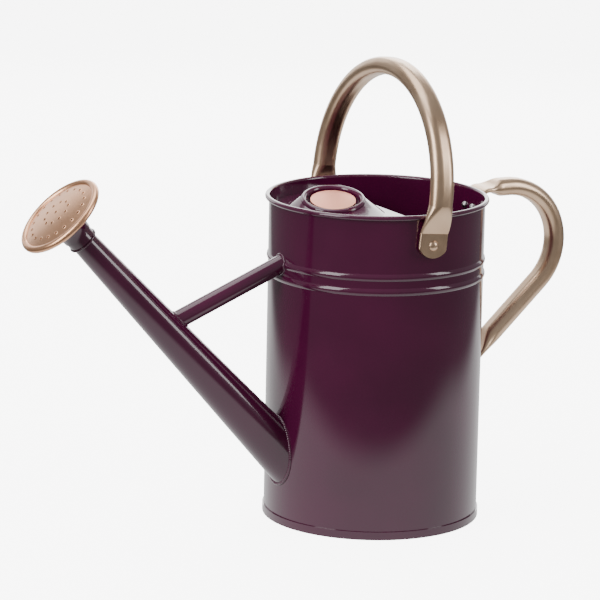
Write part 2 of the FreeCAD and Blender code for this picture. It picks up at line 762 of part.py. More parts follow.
def build_rose():
    curl = rose_radius - rose_curl
    bore = rose_curl - rose_gauge
    join = Size(150.0, "150")
    stop = Size(225.0, "225")
    join_x = curl + rose_curl * cosine(join)
    join_z = rose_curl * sine(join)
    sag = rose_dome - join_z
    ball = (join_x * join_x + sag * sag) / (2 * sag)
    centre = rose_dome - ball
    under_ball = ball - rose_gauge
    under_edge = curl - bore
    under_z = centre + root(under_ball * under_ball - under_edge * under_edge)
    face = turned("rose_face", (0, rose_dome), [
        (join_x, join_z, 0, centre, -1),
        (curl + rose_curl * cosine(stop), rose_curl * sine(stop), curl, 0, -1),
        (curl + bore * cosine(stop), bore * sine(stop)),
        (under_edge, under_z, curl, 0, 1),
        (0, rose_dome - rose_gauge, 0, centre, 1),
        (0, rose_dome),
    ])
    drill(face, "spray_middle", spray_radius, 4 * rose_dome, 0, 0, -rose_dome)
    for name, place_radius, count in (("inner", spray_inner, spray_inner_count),
                                      ("outer", spray_outer, spray_outer_count)):
        hole = drill(face, f"spray_{name}", spray_radius, 4 * rose_dome, place_radius, 0, -rose_dome)
        pattern = face.newObject("PartDesign::PolarPattern", f"spray_{name}_ring")
        pattern.Originals = [hole]
        pattern.Axis = (plane_of(face, "Z_Axis"), [""])
        pattern.Angle = 360.0
        pattern.Occurrences = int(count.value)
        face.Tip = pattern
        bind(pattern, "Occurrences", count)
        doc.recompute()

    top = -wire_gap * 2
    flange = top - rose_gauge
    neck = rose_neck + rose_gauge
    flare = neck + rose_depth + flange
    edge = under_edge - fit_gap
    back = turned("rose_back", (edge, top), [
        (edge, flange),
        (flare, flange),
        (neck, -rose_depth, flare, -rose_depth, 1),
        (rose_neck, -rose_depth),
        (flare, top, flare, -rose_depth, -1),
        (edge, top),
    ])
    mouth = -rose_depth - sleeve_length
    outside = sleeve_bore + rose_gauge
    lap = sleeve_lap - rose_depth
    sleeve = turned("rose_sleeve", (sleeve_bore, mouth), [
        (outside, mouth),
        (outside, mouth + 2 * sleeve_bead, outside, mouth + sleeve_bead, 1),
        (outside, lap),
        (sleeve_bore, lap),
        (sleeve_bore, mouth),
    ])
    seal = ring("rose_seal", nozzle_radius + fit_gap, sleeve_bore - fit_gap, seal_length)
    for piece in (face, back, sleeve):
        on_spout(piece, rose_place)
    on_spout(seal, spout_reach + nozzle_length - seal_length - seal_setback)


# ---------------------------------------------------------------- bail

def blend_depth(share):
    """Depth of a handle's tube between a flattened end and the full tube."""
    return tab_depth + (tube_depth - tab_depth) * share


def bail_end(name, side):
    """The ear, the crease and the swelling part of one leg, and the bore of the swelling part."""
    outer, inner = [], []
    rise = bail_leg - bail_crease
    shift = bail_reach - ear_middle
    for number, (up, out, swell) in enumerate(((0, 0, 0), (0.3, 0.5, 0.12), (0.6, 0.86, 0.45),
                                               (1, 1, 1))):
        y = side * (ear_middle + shift * out)
        z = bail_crease + rise * up
        outer.append(place(oval(f"{name}_section_{number}", blend_depth(swell)), 0, y, z))
        if number:
            bore = oval(f"{name}_bore_section_{number}", blend_depth(swell), tube_gauge)
            inner.append(place(bore, 0, y, z))
    flat = place(oval(f"{name}_ear_section", tab_depth), 0, side * ear_middle, -bail_tail)
    ear = extruded(f"{name}_ear_blank", flat, bail_tail + bail_crease)
    start = side * (ear_middle + tab_depth)
    turn = TO_LEFT if side > 0 else TO_RIGHT
    round_end = cylinder(f"{name}_ear_round", ear_round, 2 * tab_depth, 0, start,
                         ear_round - bail_tail, turn, 90)
    square = doc.addObject("Part::Box", f"{name}_ear_square")
    bind(square, "Length", 4 * tube_width)
    bind(square, "Width", 2 * tab_depth)
    bind(square, "Height", bail_tail + bail_crease)
    place(square, -2 * tube_width, side * ear_middle - tab_depth, ear_round - bail_tail)
    ear = common(f"{name}_ear", [ear, joined(f"{name}_ear_outline", [round_end, square])])
    return [ear, loft(f"{name}_swell", outer)], loft(f"{name}_swell_bore", inner)


def build_bail():
    arch = doc.addObject("Sketcher::SketchObject", "bail_arch_line")
    arch.Placement = Placement(Vector(), Rotation(Vector(1, 1, 1), 120))
    outline(arch, (-bail_reach, bail_leg), [(bail_reach, bail_leg, 0, bail_leg, -1)], closed=False)
    tube = place(oval("bail_tube_section", tube_depth), 0, -bail_reach, bail_leg)
    bore = place(oval("bail_bore_section", tube_depth, tube_gauge), 0, -bail_reach, bail_leg)
    left, left_bore = bail_end("bail_left", -1)
    right, right_bore = bail_end("bail_right", 1)
    solid = joined("bail_blank", left + [swept("bail_arch", tube, arch)] + right)
    hollow = joined("bail_bore", [left_bore, swept("bail_arch_bore", bore, arch), right_bore])
    pin = cylinder("bail_pin_hole", rivet_radius + fit_gap, 4 * shell_radius,
                   0, 2 * shell_radius, 0, TO_LEFT, 90)
    bail = cut("bail_handle", solid, joined("bail_hollows", [hollow, pin]))
    place(bail, 0, 0, pivot_level, TO_BACK, bail_lean)


def rivet(name, shank, head, rise, nub, nub_rise, length):
    """A domed rivet set along its own Z axis: outer head below zero, inner head past its length."""
    ball = (head * head + rise * rise) / (2 * rise)
    nub_ball = (nub * nub + nub_rise * nub_rise) / (2 * nub_rise)
    return turned(name, (0, -rise), [
        (head, 0, 0, ball - rise, 1),
        (shank, 0),
        (shank, length),
        (nub, length),
        (0, length + nub_rise, 0, length + nub_rise - nub_ball, 1),
        (0, -rise),
    ])


def build_bail_fixings():
    head_face = ear_middle + tab_depth / 2 + play
    flat_inside = root(shell_inner * shell_inner - spacer_radius * spacer_radius)
    nub_face = flat_inside - backing_gauge
    spacers, backings = [], []
    for name, side, turn in (("left", -1, TO_RIGHT), ("right", 1, TO_LEFT)):
        pin = rivet(f"bail_rivet_{name}", rivet_radius, rivet_head, rivet_dome, rivet_head, rivet_dome,
                    head_face - nub_face)
        place(pin, 0, side * head_face, pivot_level, turn, 90)
        spacer = ring(f"spacer_{name}", rivet_radius + fit_gap, spacer_radius, spacer_gauge)
        spacers.append(place(spacer, 0, side * (shell_radius + spacer_gauge), pivot_level, turn, 90))
        backing = ring(f"backing_{name}", rivet_radius + fit_gap, spacer_radius, backing_gauge)
        backings.append(place(backing, 0, side * flat_inside, pivot_level, turn, 90))
    grouped("bail_spacer_washers", spacers)
    grouped("bail_backing_washers", backings)


# ---------------------------------------------------------------- back handle

def handle_end(name, level, bend, turn, blend):
    """A flat foot on the wall below a level, a bend away from the wall through an angle, and the
    swelling part after it. Returns the solids, their bore and the place where the full tube starts."""
    centre = foot_middle + bend
    bend_x = centre - bend * cosine(turn)
    bend_z = level + bend * sine(turn)
    line = doc.addObject("Sketcher::SketchObject", f"{name}_bend_line")
    line.Placement = Placement(Vector(), Rotation(Vector(1, 0, 0), 90))
    outline(line, (foot_middle, level), [(bend_x, bend_z, centre, level, -1)], closed=False)
    flat = place(oval(f"{name}_bend_section", tab_depth, 0, True), foot_middle, 0, level)
    bent = swept(f"{name}_bend", flat, line)

    outer, inner = [], []
    for number, (onward, swell) in enumerate(((0, 0), (0.3, 0.12), (0.65, 0.72), (1, 1))):
        reach = blend * onward
        x = bend_x + reach * sine(turn)
        z = bend_z + reach * cosine(turn)
        section = oval(f"{name}_section_{number}", blend_depth(swell), 0, True)
        outer.append(place(section, x, 0, z, TO_BACK, turn))
        bore = oval(f"{name}_bore_section_{number}", blend_depth(swell), tube_gauge, True)
        inner.append(place(bore, x, 0, z, TO_BACK, turn))
    flat = place(oval(f"{name}_foot_section", tab_depth, 0, True), foot_middle, 0, level - foot_length)
    foot = extruded(f"{name}_foot_blank", flat, foot_length)
    start = foot_middle - tab_depth
    centre = level - foot_length + ear_round
    round_end = cylinder(f"{name}_foot_round", ear_round, 2 * tab_depth, start, 0, centre, TO_BACK, 90)
    square = doc.addObject("Part::Box", f"{name}_foot_square")
    bind(square, "Length", 2 * tab_depth)
    bind(square, "Width", 4 * tube_width)
    bind(square, "Height", 2 * foot_length)
    place(square, start, -2 * tube_width, centre)
    foot = common(f"{name}_foot", [foot, joined(f"{name}_foot_outline", [round_end, square])])
    return [foot, bent, loft(f"{name}_swell", outer)], loft(f"{name}_swell_bore", inner), (x, z)


def build_rear_handle():
    upper, upper_bore, upper_start = handle_end("upper", upper_level, upper_bend, size(90), upper_blend)
    lower, lower_bore, lower_start = handle_end("lower", lower_level, lower_bend, lower_turn,
                                                lower_blend)
    line = doc.addObject("Sketcher::SketchObject", "loop_line")
    line.Placement = Placement(Vector(), Rotation(Vector(1, 0, 0), 90))
    outline(line, upper_start, [
        (loop_centre, loop_level + loop_radius),
        (loop_centre + loop_radius * sine(loop_rake), loop_level - loop_radius * cosine(loop_rake),
         loop_centre, loop_level, -1),
        lower_start,
    ], closed=False)
    x, z = upper_start
    tube = place(oval("loop_tube_section", tube_depth, 0, True), x, 0, z, TO_BACK, 90)
    bore = place(oval("loop_bore_section", tube_depth, tube_gauge, True), x, 0, z, TO_BACK, 90)
    solid = joined("loop_blank", upper + [swept("loop_tube", tube, line)] + lower)
    hollow = joined("loop_bore", [upper_bore, swept("loop_tube_bore", bore, line), lower_bore])
    pins = []
    for level_name, level in (("upper", upper_pins), ("lower", lower_pins)):
        for side_name, side in (("left", -1), ("right", 1)):
            pins.append(cylinder(f"{level_name}_{side_name}_foot_hole", pin_radius + fit_gap,
                                 2 * tab_depth, foot_middle - tab_depth, side * pin_spread, level,
                                 TO_BACK, 90))
    cut("rear_handle", solid, joined("loop_hollows", [hollow] + pins))


def build_rear_rivets():
    head_face = foot_middle + tab_depth / 2
    reach = pin_spread + pin_nub
    nub_face = root(shell_inner * shell_inner - reach * reach)
    for level_name, level in (("upper", upper_pins), ("lower", lower_pins)):
        pins = []
        for side_name, side in (("left", -1), ("right", 1)):
            pin = rivet(f"{level_name}_{side_name}_pin", pin_radius, pin_head, pin_dome, pin_nub,
                        pin_nub_rise, head_face - nub_face)
            pins.append(place(pin, head_face, side * pin_spread, level, TO_FRONT, 90))
        grouped(f"rear_handle_{level_name}_rivets", pins)


build_body_shell()
build_rim_wire()
build_base()
build_top_cover()
build_badge()
build_spout()
build_welds()
build_rose()
build_bail()
build_bail_fixings()
build_rear_handle()
build_rear_rivets()
doc.recompute()

# ---------------------------------------------------------------- export

NODES = [
    "body_shell", "rim_wire", "base_plate", "base_seam_seal", "top_cover", "cover_badge",
    "badge_stud", "badge_clip", "spout_tube", "spout_weld_bead", "spout_brace", "brace_weld_beads",
    "rose_face", "rose_back", "rose_sleeve", "rose_seal", "bail_handle", "bail_rivet_left",
    "bail_rivet_right", "bail_spacer_washers", "bail_backing_washers", "rear_handle",
    "rear_handle_upper_rivets", "rear_handle_lower_rivets",
]

for item in doc.Objects:
    troubles = [word for word in item.State if word in ("Invalid", "Error")]
    if troubles:
        raise RuntimeError(f"{item.Name} did not build: {troubles}")

os.makedirs("parts", exist_ok=True)
for node in NODES:
    item = doc.getObject(node)
    item.Label = node
    if item.Shape.isNull() or not item.Shape.isValid() or not item.Shape.Solids:
        raise RuntimeError(f"{node} is not a valid solid")
    item.Shape.exportStep(os.path.join("parts", node + ".step"))
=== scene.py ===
import math

import bmesh
import bpy
from mathutils import Matrix, Vector


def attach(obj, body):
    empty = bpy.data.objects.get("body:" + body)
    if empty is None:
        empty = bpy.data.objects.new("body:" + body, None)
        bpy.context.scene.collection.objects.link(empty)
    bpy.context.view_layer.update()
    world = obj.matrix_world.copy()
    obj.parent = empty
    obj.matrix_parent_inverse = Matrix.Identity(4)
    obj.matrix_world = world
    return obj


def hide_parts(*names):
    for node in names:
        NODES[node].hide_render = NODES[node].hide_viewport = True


bl_info = {
    "name": "Watering Can",
    "version": (1, 0, 0),
    "blender": (4, 5, 0),
    "location": "3D View > Sidebar > Watering Can",
    "description": "Dresses the watering can's frame: enamel, bronze and copper, weld beads and a studio",
    "category": "Object",
}

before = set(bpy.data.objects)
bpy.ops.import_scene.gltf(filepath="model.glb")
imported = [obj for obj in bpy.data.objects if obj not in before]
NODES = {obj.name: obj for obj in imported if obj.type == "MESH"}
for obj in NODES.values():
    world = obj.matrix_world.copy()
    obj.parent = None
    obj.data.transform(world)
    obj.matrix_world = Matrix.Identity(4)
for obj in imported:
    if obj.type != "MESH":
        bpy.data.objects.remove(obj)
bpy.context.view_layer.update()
MM = 0.001

# Places and sizes of the frame's pieces, in millimetres.
ACROSS = Vector((0, 1, 0))
WALL_RADIUS = 77.5
BEAD_LEVELS = (179.9, 190.2)
BEAD_HALF = 2.6
SPOUT_RADIUS = 17.0
SPOUT_SLOPE = math.tan(math.radians(2.03))
SPOUT_TILT = math.radians(46.9)
SPOUT_AXIS = Vector((-math.cos(SPOUT_TILT), 0.0, math.sin(SPOUT_TILT)))
SPOUT_START = Vector((-WALL_RADIUS, 0.0, 55.0))
BRACE_RADIUS = 6.5
BRACE_DROP = math.radians(22.4)
BRACE_AXIS = Vector((-math.cos(BRACE_DROP), 0.0, -math.sin(BRACE_DROP)))
BRACE_START = Vector((-WALL_RADIUS, 0.0, 190.1))
# the rose: its rim's place along the spout, its face's rise and ball radius, and its rings of holes
ROSE_RIM = SPOUT_START + SPOUT_AXIS * 250.7
ROSE_DOME = 4.6
ROSE_BALL = 121.5
SPRAY_RINGS = ((0.0, 1), (10.2, 10), (22.6, 20))
BADGE_CENTRE = (-36.1, -0.2, 234.4)
BADGE_TURN = Matrix.Rotation(math.radians(13.4), 3, Vector((0.90996, -0.4147, 0.0))).to_euler()

# The camera's direction, and the plan directions to its right and straight behind the can.
VIEW_AZIMUTH = math.radians(-28.3)
VIEW_ELEVATION = math.radians(12.72)
VIEW_ROLL = math.radians(1.16)
VIEW_DISTANCE = 2647.0
VIEW_RIGHT = Vector((math.cos(VIEW_AZIMUTH), math.sin(VIEW_AZIMUTH), 0.0))
BEHIND = Vector((-math.sin(VIEW_AZIMUTH), math.cos(VIEW_AZIMUTH), 0.0))


def linear(code):
    """An sRGB hex value as linear red, green and blue."""
    parts = [int(code[i:i + 2], 16) / 255 for i in (1, 3, 5)]
    return tuple(c / 12.92 if c <= 0.04045 else ((c + 0.055) / 1.055) ** 2.4 for c in parts)


def colour(name, description, code):
    return bpy.props.FloatVectorProperty(
        name=name, description=description, subtype="COLOR", size=3, min=0.0, max=1.0,
        default=linear(code),
    )


def length(name, description, millimetres):
    return bpy.props.FloatProperty(
        name=name, description=description, unit="LENGTH", subtype="DISTANCE", min=0.0,
        default=millimetres * MM, precision=5,
    )


class WateringCanSizes(bpy.types.PropertyGroup):
    """Sizes of the details that are made here."""

    weld_height: length("Weld height", "How far the weld beads stand out", 1.3)
    ripple_pitch: length("Weld ripple", "Distance between two ripples of a weld bead", 1.5)
    hole_lip: length("Spray hole lip", "Height of the lip punched up round each spray hole", 0.22)
    hole_radius: length("Spray hole", "Radius of a spray hole", 0.8)


class WateringCanColours(bpy.types.PropertyGroup):
    """Colours of the finishes."""

    enamel: colour("Enamel", "Gloss enamel of the can", "#560D3A")
    enamel_deep: colour("Deep enamel", "Where the enamel has run a little thicker", "#4D0B34")
    bronze: colour("Bronze", "Metallic lacquer on the handles", "#DDBD9F")
    bronze_deep: colour("Deep bronze", "Darker drift in the lacquer", "#CBAA8C")
    copper: colour("Copper", "Copper plating of the rose", "#F3BC94")
    copper_deep: colour("Deep copper", "Warmer drift in the plating", "#E9AE86")
    badge: colour("Badge", "Satin copper of the badge", "#FFB49E")
    steel: colour("Steel", "Zinc plating of the rivets and washers", "#C9C8C6")


def settings():
    return bpy.context.scene.watering_can_sizes, bpy.context.scene.watering_can_colours


# ---------------------------------------------------------------- nodes

def node(tree, kind, options=None, values=None, links=None):
    """Add a node with its options, input values and links."""
    item = tree.nodes.new(kind)
    for name, value in (options or {}).items():
        setattr(item, name, value)
    for name, value in (values or {}).items():
        item.inputs[name].default_value = value
    for name, source in (links or {}).items():
        tree.links.new(source, item.inputs[name])
    return item


def new_material(name):
    material = bpy.data.materials.new(name)
    material.use_nodes = True
    material.node_tree.nodes.clear()
    tree = material.node_tree
    where = node(tree, "ShaderNodeTexCoord").outputs["Object"]
    return material, tree, where


def shade(tree, values, links):
    shader = node(tree, "ShaderNodeBsdfPrincipled", values=values, links=links)
    node(tree, "ShaderNodeOutputMaterial", links={"Surface": shader.outputs["BSDF"]})


def per_mm(size):
    """The scale that gives a noise this many millimetres from lump to lump."""
    return 1.0 / (size * MM)


def drift(tree, where, size, first, second, detail=2.0, contrast=(0.35, 0.65)):
    """Two colours that drift into each other over a real distance."""
    noise = node(tree, "ShaderNodeTexNoise", values={"Scale": per_mm(size), "Detail": detail},
                 links={"Vector": where})
    spread = node(tree, "ShaderNodeMapRange",
                  values={"From Min": contrast[0], "From Max": contrast[1]},
                  links={"Value": noise.outputs["Fac"]})
    mix = node(tree, "ShaderNodeMix", {"data_type": "RGBA"})
    mix.inputs[6].default_value = (*first, 1.0)
    mix.inputs[7].default_value = (*second, 1.0)
    tree.links.new(spread.outputs["Result"], mix.inputs["Factor"])
    return mix.outputs[2]


def vary(tree, where, size, low, high, detail=2.0):
    """A value that wanders between two limits over a real distance."""
    noise = node(tree, "ShaderNodeTexNoise", values={"Scale": per_mm(size), "Detail": detail},
                 links={"Vector": where})
    spread = node(tree, "ShaderNodeMapRange",
                  values={"From Min": 0.3, "From Max": 0.7, "To Min": low, "To Max": high},
                  links={"Value": noise.outputs["Fac"]})
    return spread.outputs["Result"]


def relief(tree, where, size, height, normal=None, detail=1.0):
    """Bumps of a real size and height."""
    noise = node(tree, "ShaderNodeTexNoise", values={"Scale": per_mm(size), "Detail": detail},
                 links={"Vector": where})
    links = {"Height": noise.outputs["Fac"]}
    if normal is not None:
        links["Normal"] = normal
    bump = node(tree, "ShaderNodeBump", values={"Strength": 1.0, "Distance": height * MM},
                links=links)
    return bump.outputs["Normal"]


def turned_rings(tree, where, centre, turn, pitch):
    """The fine rings left on sheet that was spun or turned about an axis."""
    local = node(tree, "ShaderNodeMapping", {"vector_type": "TEXTURE"},
                 {"Location": [c * MM for c in centre], "Rotation": turn},
                 {"Vector": where})
    rings = node(tree, "ShaderNodeTexWave",
                 {"wave_type": "RINGS", "rings_direction": "Z"},
                 {"Scale": 2 * math.pi / (20 * pitch * MM), "Distortion": 0.6, "Detail": 2.0,
                  "Detail Scale": 0.4},
                 {"Vector": local.outputs["Vector"]})
    return rings.outputs["Fac"]


def plum_enamel():
    """Gloss enamel sprayed and baked on sheet steel. The film levels out almost like glass, so what
    the eye gets is a clear, dark mirror with a trace of orange peel over slightly wavy sheet."""
    tones = settings()[1]
    material, tree, where = new_material("plum gloss enamel")
    base = drift(tree, where, 55.0, tones.enamel, tones.enamel_deep)
    wavy = relief(tree, where, 60.0, 0.05)
    # real orange peel is 1 to 2 mm across; drawn at 4 mm so that it can be seen at all
    peel = relief(tree, where, 4.0, 0.0022, wavy)
    rough = vary(tree, where, 35.0, 0.10, 0.16)
    shade(tree, {"Metallic": 0.0, "IOR": 1.52, "Coat Weight": 0.5, "Coat Roughness": 0.05},
          {"Base Color": base, "Roughness": rough, "Normal": peel})
    return material


def bronze_lacquer():
    """Metallic lacquer sprayed on steel tube. Fine metal flakes in a clear film give a satin glow
    with a soft, bright streak wherever a lamp is mirrored."""
    tones = settings()[1]
    material, tree, where = new_material("champagne bronze lacquer")
    base = drift(tree, where, 30.0, tones.bronze, tones.bronze_deep)
    # real flakes are a few hundredths of a millimetre; drawn at 0.7 mm
    flakes = relief(tree, where, 0.7, 0.004, detail=2.0)
    rough = vary(tree, where, 12.0, 0.27, 0.34, 3.0)
    shade(tree, {"Metallic": 1.0, "Coat Weight": 0.35, "Coat Roughness": 0.12},
          {"Base Color": base, "Roughness": rough, "Normal": flakes})
    return material


def copper_plate():
    """Copper plated on spun steel sheet and lacquered. The spinning leaves fine rings, which draw
    the highlight out into a soft fan."""
    tones = settings()[1]
    material, tree, where = new_material("spun copper plate")
    rings = turned_rings(tree, where, ROSE_RIM, (0.0, SPOUT_TILT - math.pi / 2, 0.0), 1.1)
    base = drift(tree, where, 14.0, tones.copper, tones.copper_deep, 2.0, (0.2, 0.9))
    grain = relief(tree, where, 1.4, 0.006, detail=3.0)
    marks = node(tree, "ShaderNodeBump", values={"Strength": 1.0, "Distance": 0.0035 * MM},
                 links={"Height": rings, "Normal": grain})
    rough = vary(tree, where, 9.0, 0.27, 0.33, 2.0)
    shade(tree, {"Metallic": 1.0, "Coat Weight": 0.2, "Coat Roughness": 0.2},
          {"Base Color": base, "Roughness": rough, "Normal": marks.outputs["Normal"]})
    return material


def polished_copper():
    """Copper disc turned and rubbed to a satin: light, a little pink, with faint turning rings."""
    tones = settings()[1]
    material, tree, where = new_material("buffed copper")
    rings = turned_rings(tree, where, BADGE_CENTRE, BADGE_TURN[:], 0.9)
    marks = node(tree, "ShaderNodeBump", values={"Strength": 1.0, "Distance": 0.002 * MM},
                 links={"Height": rings})
    base = drift(tree, where, 10.0, tones.badge, tones.copper, 2.0, (0.3, 1.6))
    rough = vary(tree, where, 5.0, 0.42, 0.5)
    shade(tree, {"Metallic": 1.0}, {"Base Color": base, "Roughness": rough,
                                    "Normal": marks.outputs["Normal"]})
    return material


def zinc_steel():
    """Steel with a thin bright zinc coat: grey, slightly cloudy, with soft highlights."""
    tones = settings()[1]
    material, tree, where = new_material("bright zinc plated steel")
    base = drift(tree, where, 1.6, tones.steel, linear("#AEADAB"), 3.0)
    rough = vary(tree, where, 1.2, 0.24, 0.4)
    shade(tree, {"Metallic": 1.0},
          {"Base Color": base, "Roughness": rough, "Normal": relief(tree, where, 0.8, 0.008)})
    return material


def black_rubber():
    """Moulded nitrile rubber: dull, dark, with a faint bloom."""
    material, tree, where = new_material("black nitrile rubber")
    base = drift(tree, where, 3.0, linear("#1A1A1B"), linear("#242425"))
    rough = vary(tree, where, 2.0, 0.62, 0.8)
    shade(tree, {"IOR": 1.5}, {"Base Color": base, "Roughness": rough,
                               "Normal": relief(tree, where, 0.6, 0.01)})
    return material


def seam_sealant():
    """Polyurethane seam sealant: grey, soft and slightly lumpy."""
    material, tree, where = new_material("grey seam sealant")
    base = drift(tree, where, 4.0, linear("#5C5A58"), linear("#6B6966"))
    rough = vary(tree, where, 3.0, 0.5, 0.7)
    shade(tree, {"IOR": 1.48}, {"Base Color": base, "Roughness": rough,
                                "Normal": relief(tree, where, 2.0, 0.05)})
    return material


MADE = {}


def made(maker):
    """Make each finish or geometry tree once."""
    name = maker.__name__
    if name not in MADE:
        MADE[name] = maker()
    return MADE[name]


def paint(names, material):
    """Give CAD nodes a finish."""
    for name in names:
        mesh = NODES[name].data
        mesh.materials.clear()
        mesh.materials.append(material)


# ---------------------------------------------------------------- geometry trees

def new_tree(name, sockets):
    tree = bpy.data.node_groups.new(name, "GeometryNodeTree")
    tree.interface.new_socket("Geometry", in_out="INPUT", socket_type="NodeSocketGeometry")
    for label, kind in sockets:
        tree.interface.new_socket(label, in_out="INPUT", socket_type=kind)
    tree.interface.new_socket("Geometry", in_out="OUTPUT", socket_type="NodeSocketGeometry")
    return tree, node(tree, "NodeGroupInput")


def finish_tree(tree, inputs, geometry):
    real = node(tree, "GeometryNodeRealizeInstances", links={"Geometry": geometry})
    smooth = node(tree, "GeometryNodeSetShadeSmooth", links={"Geometry": real.outputs[0]})
    coated = node(tree, "GeometryNodeSetMaterial",
                  links={"Geometry": smooth.outputs[0], "Material": inputs.outputs["Material"]})
    node(tree, "NodeGroupOutput", links={"Geometry": coated.outputs[0]})


def loose_mesh(name, points, edges=(), faces=()):
    mesh = bpy.data.meshes.new(name)
    mesh.from_pydata([tuple(c * MM for c in p) for p in points], list(edges), list(faces))
    item = bpy.data.objects.new(name, mesh)
    bpy.context.scene.collection.objects.link(item)
    return item


def grow(item, tree, values):
    """Run a geometry tree on an object and keep the result as its plain mesh."""
    modifier = item.modifiers.new(tree.name, "NODES")
    modifier.node_group = tree
    for socket in tree.interface.items_tree:
        if socket.item_type == "SOCKET" and socket.in_out == "INPUT" and socket.name in values:
            modifier[socket.identifier] = values[socket.name]
    graph = bpy.context.evaluated_depsgraph_get()
    mesh = bpy.data.meshes.new_from_object(item.evaluated_get(graph))
    item.modifiers.clear()
    item.data = mesh
    shape = bmesh.new()
    shape.from_mesh(mesh)
    bmesh.ops.remove_doubles(shape, verts=shape.verts, dist=1e-7)
    bmesh.ops.recalc_face_normals(shape, faces=shape.faces)
    shape.to_mesh(mesh)
    shape.free()
    for face in mesh.polygons:
        face.use_smooth = True
    if not mesh.polygons:
        raise RuntimeError(f"{item.name} came out empty")
    return item


def weld_tree():
    """A weld bead laid along a line: a round bead whose ripples follow each other at a real pitch."""
    tree, inputs = new_tree("weld bead", [
        ("Height", "NodeSocketFloat"), ("Ripple", "NodeSocketFloat"), ("Material", "NodeSocketMaterial"),
    ])
    line = node(tree, "GeometryNodeMeshToCurve", links={"Mesh": inputs.outputs["Geometry"]})
    fine = node(tree, "GeometryNodeResampleCurve", {"mode": "LENGTH"}, {"Length": 0.35 * MM},
                {"Curve": line.outputs[0]})
    along = node(tree, "GeometryNodeSplineParameter")
    turns = node(tree, "ShaderNodeMath", {"operation": "DIVIDE"},
                 links={0: along.outputs["Length"], 1: inputs.outputs["Ripple"]})
    saw = node(tree, "ShaderNodeMath", {"operation": "FRACT"}, links={0: turns.outputs[0]})
    bow = node(tree, "ShaderNodeMath", {"operation": "MULTIPLY_ADD"}, {1: 0.16, 2: 0.9},
               {0: saw.outputs[0]})
    wander = node(tree, "ShaderNodeTexNoise", values={"Scale": per_mm(6.0), "Detail": 1.0})
    width = node(tree, "ShaderNodeMath", {"operation": "MULTIPLY_ADD"}, {1: 0.25, 2: -0.12},
                 {0: wander.outputs["Fac"]})
    radius = node(tree, "ShaderNodeMath", {"operation": "ADD"},
                  links={0: bow.outputs[0], 1: width.outputs[0]})
    sized = node(tree, "ShaderNodeMath", {"operation": "MULTIPLY"},
                 links={0: radius.outputs[0], 1: inputs.outputs["Height"]})
    swollen = node(tree, "GeometryNodeSetCurveRadius",
                   links={"Curve": fine.outputs[0], "Radius": sized.outputs[0]})
    ring = node(tree, "GeometryNodeCurvePrimitiveCircle", values={"Resolution": 14, "Radius": 1.0})
    bead = node(tree, "GeometryNodeCurveToMesh",
                links={"Curve": swollen.outputs[0], "Profile Curve": ring.outputs[0]})
    if "Scale" in bead.inputs:
        tree.links.new(sized.outputs[0], bead.inputs["Scale"])
    finish_tree(tree, inputs, bead.outputs[0])
    return tree


def stud_tree():
    """Copies of one turned shape, stood on points along their normals."""
    tree, inputs = new_tree("studs", [
        ("Shape", "NodeSocketObject"), ("Material", "NodeSocketMaterial"),
    ])
    shape = node(tree, "GeometryNodeObjectInfo", links={"Object": inputs.outputs["Shape"]})
    way = node(tree, "GeometryNodeInputNamedAttribute", {"data_type": "FLOAT_VECTOR"}, {"Name": "way"})
    turn = node(tree, "FunctionNodeAlignRotationToVector", {"axis": "Z"},
                links={"Vector": way.outputs["Attribute"]})
    copies = node(tree, "GeometryNodeInstanceOnPoints",
                  links={"Points": inputs.outputs["Geometry"],
                         "Instance": shape.outputs["Geometry"], "Rotation": turn.outputs[0]})
    finish_tree(tree, inputs, copies.outputs[0])
    return tree


def lathe_tree():
    """A profile of (radius, height) points turned round the Z axis."""
    tree, inputs = new_tree("lathe", [
        ("Segments", "NodeSocketInt"), ("Material", "NodeSocketMaterial"),
    ])
    spot = node(tree, "GeometryNodeInputPosition")
    split = node(tree, "ShaderNodeSeparateXYZ", links={"Vector": spot.outputs[0]})
    out = node(tree, "ShaderNodeMath", {"operation": "SUBTRACT"}, {1: 1.0 * MM}, {0: split.outputs["X"]})
    down = node(tree, "ShaderNodeMath", {"operation": "MULTIPLY"}, {1: -1.0}, {0: split.outputs["Z"]})
    flat = node(tree, "ShaderNodeCombineXYZ", links={"X": out.outputs[0], "Y": down.outputs[0]})
    laid = node(tree, "GeometryNodeSetPosition",
                links={"Geometry": inputs.outputs["Geometry"], "Position": flat.outputs[0]})
    profile = node(tree, "GeometryNodeMeshToCurve", links={"Mesh": laid.outputs[0]})
    circle = node(tree, "GeometryNodeCurvePrimitiveCircle", values={"Radius": 1.0 * MM},
                  links={"Resolution": inputs.outputs["Segments"]})
    upright = node(tree, "GeometryNodeSetCurveNormal", {"mode": "Z_UP"},
                   links={"Curve": circle.outputs[0]})
    turned = node(tree, "GeometryNodeCurveToMesh",
                  links={"Curve": upright.outputs[0], "Profile Curve": profile.outputs[0]})
    finish_tree(tree, inputs, turned.outputs[0])
    return tree


def lathe(name, profile, segments, material):
    """Turn a profile of (radius, height) in millimetres about Z."""
    edges = [(i, i + 1) for i in range(len(profile) - 1)]
    item = loose_mesh(name, [(r, 0.0, z) for r, z in profile], edges)
    return grow(item, made(lathe_tree), {"Segments": segments, "Material": material})


def studs(name, shape, points, ways, material):
    """Stand copies of a shape on points, each along its own way out."""
    item = loose_mesh(name, points)
    attribute = item.data.attributes.new("way", "FLOAT_VECTOR", "POINT")
    attribute.data.foreach_set("vector", [c for way in ways for c in way])
    grow(item, made(stud_tree), {"Shape": shape, "Material": material})
    bpy.data.objects.remove(shape)
    return item


def stands(item, body, slot, *nodes):
    """A finished piece rides on a body and stands for its CAD nodes."""
    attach(item, body)
    if nodes:
        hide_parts(*nodes)


# ---------------------------------------------------------------- pieces

